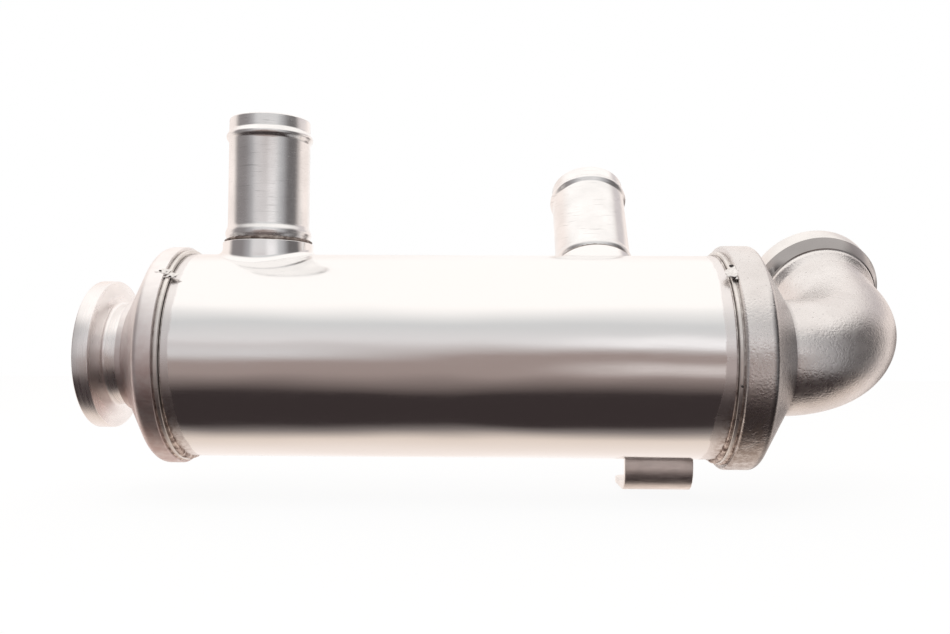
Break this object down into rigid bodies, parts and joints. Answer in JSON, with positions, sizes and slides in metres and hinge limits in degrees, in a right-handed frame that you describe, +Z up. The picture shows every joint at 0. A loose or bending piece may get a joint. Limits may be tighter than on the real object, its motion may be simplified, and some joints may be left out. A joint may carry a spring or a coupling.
{
  "type": "egr cooler",
  "caption": "Stainless shell-and-tube exhaust gas cooler with a clamp flange at each gas end, a cast outlet elbow, hose spigots for coolant and a small foot bracket.",
  "frame": {"origin": "centre of the gas inlet flange's face, on the shell's axis", "axes": "+X along the shell from the gas inlet to the gas outlet, +Z up along the coolant inlet spigot, +Y away from the side that the picture shows"},
  "size_m": [0.2262, 0.0801, 0.1025],
  "materials": {
    "flange_steel": "turned stainless steel",
    "cap_steel": "satin pressed stainless sheet",
    "header_steel": "plain pressed stainless sheet",
    "tube_steel": "drawn stainless tube",
    "baffle_steel": "plain stainless sheet",
    "shell_steel": "polished stainless tube, dull near the brazed ends",
    "spigot_steel": "satin drawn stainless tube",
    "cast_steel": "stainless casting with a fine pebbled skin, machined flange back",
    "bracket_steel": "bent stainless sheet"
  },
  "bodies": {
    "root": {"inlet_flange": "flange_steel", "inlet_cap": "cap_steel", "inlet_header_plate": "header_steel", "outlet_header_plate": "header_steel", "gas_tube_01": "tube_steel", "gas_tube_02": "tube_steel", "gas_tube_03": "tube_steel", "gas_tube_04": "tube_steel", "gas_tube_05": "tube_steel", "gas_tube_06": "tube_steel", "gas_tube_07": "tube_steel", "gas_tube_08": "tube_steel", "gas_tube_09": "tube_steel", "gas_tube_10": "tube_steel", "gas_tube_11": "tube_steel", "gas_tube_12": "tube_steel", "gas_tube_13": "tube_steel", "gas_tube_14": "tube_steel", "gas_tube_15": "tube_steel", "gas_tube_16": "tube_steel", "gas_tube_17": "tube_steel", "gas_tube_18": "tube_steel", "gas_tube_19": "tube_steel", "baffle_inlet_side": "baffle_steel", "baffle_outlet_side": "baffle_steel", "housing_tube": "shell_steel", "coolant_inlet_spigot": "spigot_steel", "coolant_outlet_spigot": "spigot_steel", "outlet_elbow": "cast_steel", "mounting_bracket": "bracket_steel"}
  },
  "joints": []
}
